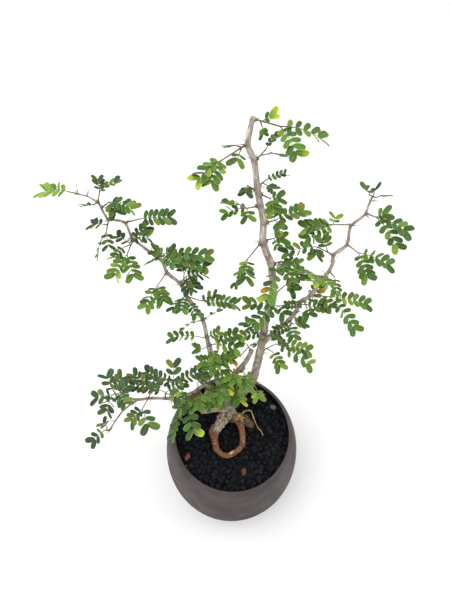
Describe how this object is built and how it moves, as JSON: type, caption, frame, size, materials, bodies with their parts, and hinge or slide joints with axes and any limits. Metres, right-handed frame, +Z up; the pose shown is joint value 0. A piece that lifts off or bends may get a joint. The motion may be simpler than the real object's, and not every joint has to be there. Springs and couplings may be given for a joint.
{
  "type": "potted bonsai tree",
  "caption": "Young thorny bonsai tree with looped surface root, spreading stems and feathery twice-divided leaves, in a round stoneware pot topped with black lava gravel.",
  "frame": {"origin": "centre of the pot's flat underside", "axes": "+Z up the tree, +X to the right and -Y towards the viewer of the reference picture"},
  "size_m": [0.2786, 0.1952, 0.4392],
  "materials": {
    "stoneware": "matt, smoky taupe",
    "mesh": "matt",
    "soil": "dark, crumbly",
    "gravel": "rough black lava",
    "red_lava": "rough red-brown lava",
    "bark": "grey-beige bark",
    "leaf": "soft green leaf"
  },
  "bodies": {
    "root": {"pot": "stoneware", "drainage_mesh": "mesh", "potting_mix": "soil", "lava_gravel": "gravel", "red_chip_left": "red_lava", "red_chip_front": "red_lava", "tree": "bark", "leaves_crown_right": "leaf", "leaves_crown_left": "leaf", "leaves_upper_right": "leaf", "leaves_tiny_right": "leaf", "leaves_upper_left": "leaf", "leaves_left_spray": "leaf", "leaves_mid_right_upper": "leaf", "leaves_mid_right": "leaf", "leaves_mid_right_lower": "leaf", "leaves_mid_left": "leaf", "leaves_centre_front": "leaf", "leaves_centre_right": "leaf", "leaves_low_edge": "leaf", "leaves_fan": "leaf", "leaves_fork_front": "leaf", "leaves_trunk_front": "leaf", "leaves_right_tip": "leaf", "leaves_right_end": "leaf", "leaves_right_left": "leaf", "leaves_right_inner": "leaf", "leaves_right_outer": "leaf", "leaves_right_hanging": "leaf", "leaves_right_pale": "leaf", "leaves_right_long": "leaf", "leaves_right_middle": "leaf", "leaves_right_inward": "leaf", "leaves_right_low": "leaf", "leaves_left_tip": "leaf", "leaves_left_tip_up": "leaf", "leaves_left_arc": "leaf", "leaves_left_right": "leaf", "leaves_left_hang_outer": "leaf", "leaves_left_node": "leaf", "leaves_left_hang": "leaf", "leaves_left_upper": "leaf", "leaves_left_dark": "leaf", "leaves_left_mid_hang": "leaf", "leaves_left_mid_right": "leaf", "leaves_left_thin": "leaf", "leaves_left_low_outer": "leaf", "leaves_left_low_right": "leaf", "leaves_left_low": "leaf", "leaves_low_up": "leaf", "leaves_low_row": "leaf", "leaves_low_mid": "leaf", "leaves_low_tip": "leaf", "leaves_low_fork_tip": "leaf", "leaves_low_hanging": "leaf", "leaves_low_mass": "leaf", "leaves_low_inner": "leaf", "leaves_stub_tip": "leaf", "leaves_stub_mid": "leaf", "leaves_stub_low": "leaf"}
  },
  "joints": []
}
